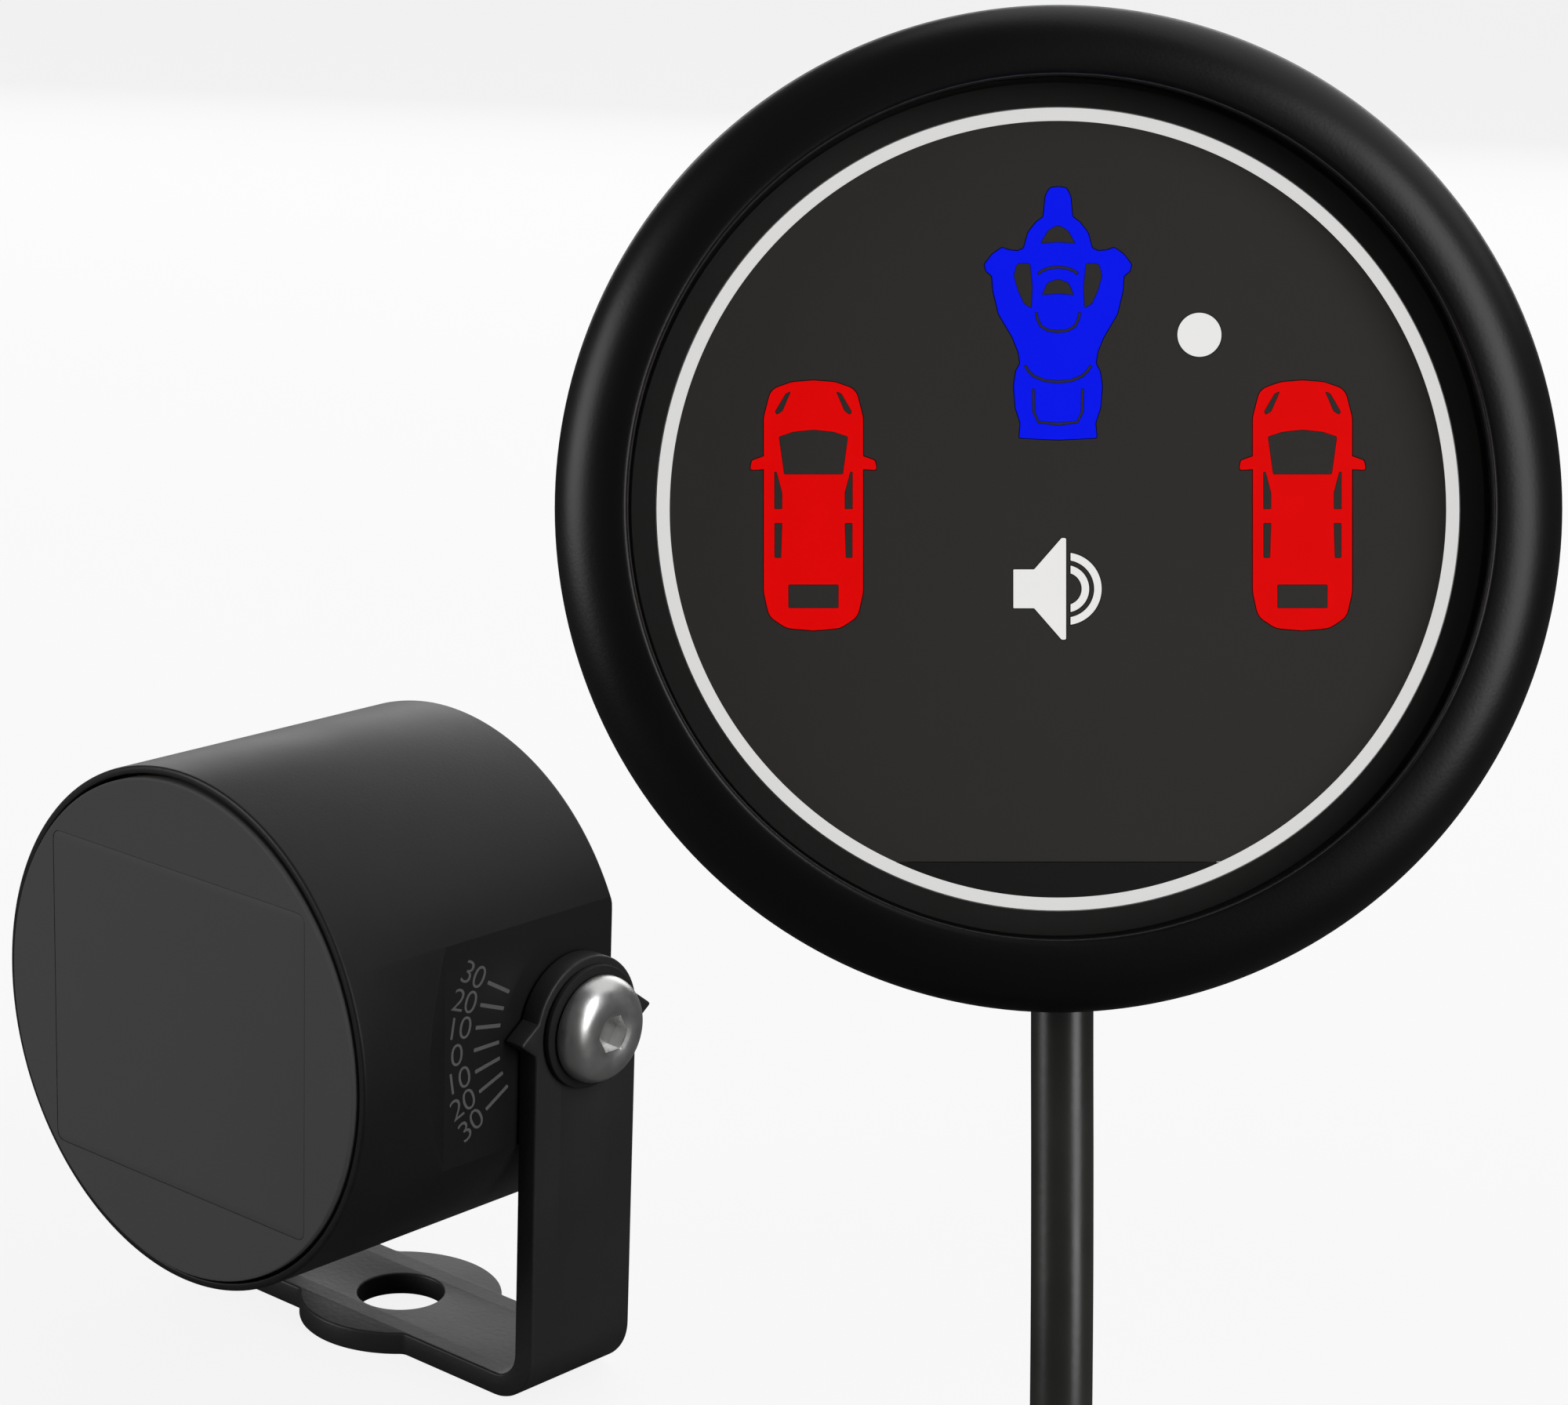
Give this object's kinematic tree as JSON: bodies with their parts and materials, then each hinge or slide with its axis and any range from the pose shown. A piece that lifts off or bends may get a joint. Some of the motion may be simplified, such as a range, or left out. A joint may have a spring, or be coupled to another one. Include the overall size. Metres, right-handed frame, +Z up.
{
  "type": "motorcycle blind-spot radar set",
  "caption": "Radar sensor pod tilting in a U-shaped bolt-on bracket, with a round warning display on a cable that ends in a coil and a round plug.",
  "frame": {"origin": "centre of the foot's bolt hole on the underside of the U-bracket", "axes": "+Z up from the foot, +X along the tilt axis towards the display, -Y the way the radar looks"},
  "size_m": [0.1614, 0.0915, 0.1308],
  "materials": {
    "bracket_paint": "satin black powder coat on steel sheet",
    "pod_anodised": "satin black anodised",
    "bezel_anodised": "satin black anodised",
    "black_plastic": "fine moulded texture",
    "radome_plastic": "matt dark grey",
    "black_rubber": "matt",
    "circuit_green": "solder resist",
    "tinned_steel": "tinned",
    "screw_steel": "turned stainless steel",
    "chip_black": "matt",
    "brass": "turned",
    "lens_clear": "clear, low reflection",
    "face_grey": "printed film, dark grey",
    "mask_black": "printed black",
    "light_white": "lit white",
    "light_red": "lit red",
    "light_blue": "lit blue",
    "led_white": "phosphor",
    "pad_foam": "closed-cell adhesive foam",
    "cable_jacket": "glossy jacket",
    "plug_insert_grey": "moulded",
    "seal_orange": "silicone"
  },
  "bodies": {
    "bracket_and_display": {"bracket": "bracket_paint", "bezel": "bezel_anodised", "lens": "lens_clear", "lens_gasket": "black_rubber", "face_panel": "face_grey", "mask_ring": "mask_black", "light_ring": "light_white", "car_symbol_left": "light_red", "car_symbol_right": "light_red", "rider_symbol": "light_blue", "speaker_symbol": "light_white", "sound_wave_inner": "light_white", "sound_wave_outer": "light_white", "status_light": "light_white", "light_baffle": "mask_black", "circuit_board": "circuit_green", "led_car_left": "led_white", "led_car_right": "led_white", "led_rider": "led_white", "led_speaker": "led_white", "led_status": "led_white", "controller_chip": "chip_black", "buzzer": "black_plastic", "rear_housing": "black_plastic", "rim_seal": "black_rubber", "cable_gland": "black_rubber", "adhesive_pad": "pad_foam", "display_cable": "cable_jacket", "cable_tail": "cable_jacket", "cable_coil": "cable_jacket", "plug_boot": "black_rubber", "plug_body": "black_plastic", "plug_insert": "plug_insert_grey", "plug_seal": "seal_orange", "plug_nut": "black_plastic"},
    "radar_pod": {"pod_housing": "pod_anodised", "radome": "radome_plastic", "radome_seal": "black_rubber", "antenna_board": "circuit_green", "shield_can": "tinned_steel", "processor_board": "circuit_green", "radar_processor": "chip_black", "cable_header": "black_plastic", "board_spacer_left": "brass", "board_spacer_right": "brass", "rear_cover": "black_plastic", "rear_seal": "black_rubber", "rear_screw_1": "screw_steel", "rear_screw_2": "screw_steel", "rear_screw_3": "screw_steel", "rear_screw_4": "screw_steel", "pod_cable_gland": "black_rubber", "pivot_screw_left": "screw_steel", "pivot_screw_right": "screw_steel", "pivot_washer_left": "black_rubber", "pivot_washer_right": "black_rubber", "pivot_insert_left": "brass", "pivot_insert_right": "brass"}
  },
  "joints": [
    {"name": "pod_tilt", "type": "hinge", "parent": "bracket_and_display", "child": "radar_pod", "pos_m": [0, 0, 0.0343], "axis": [1, 0, 0], "range_deg": [-30, 30]}
  ]
}
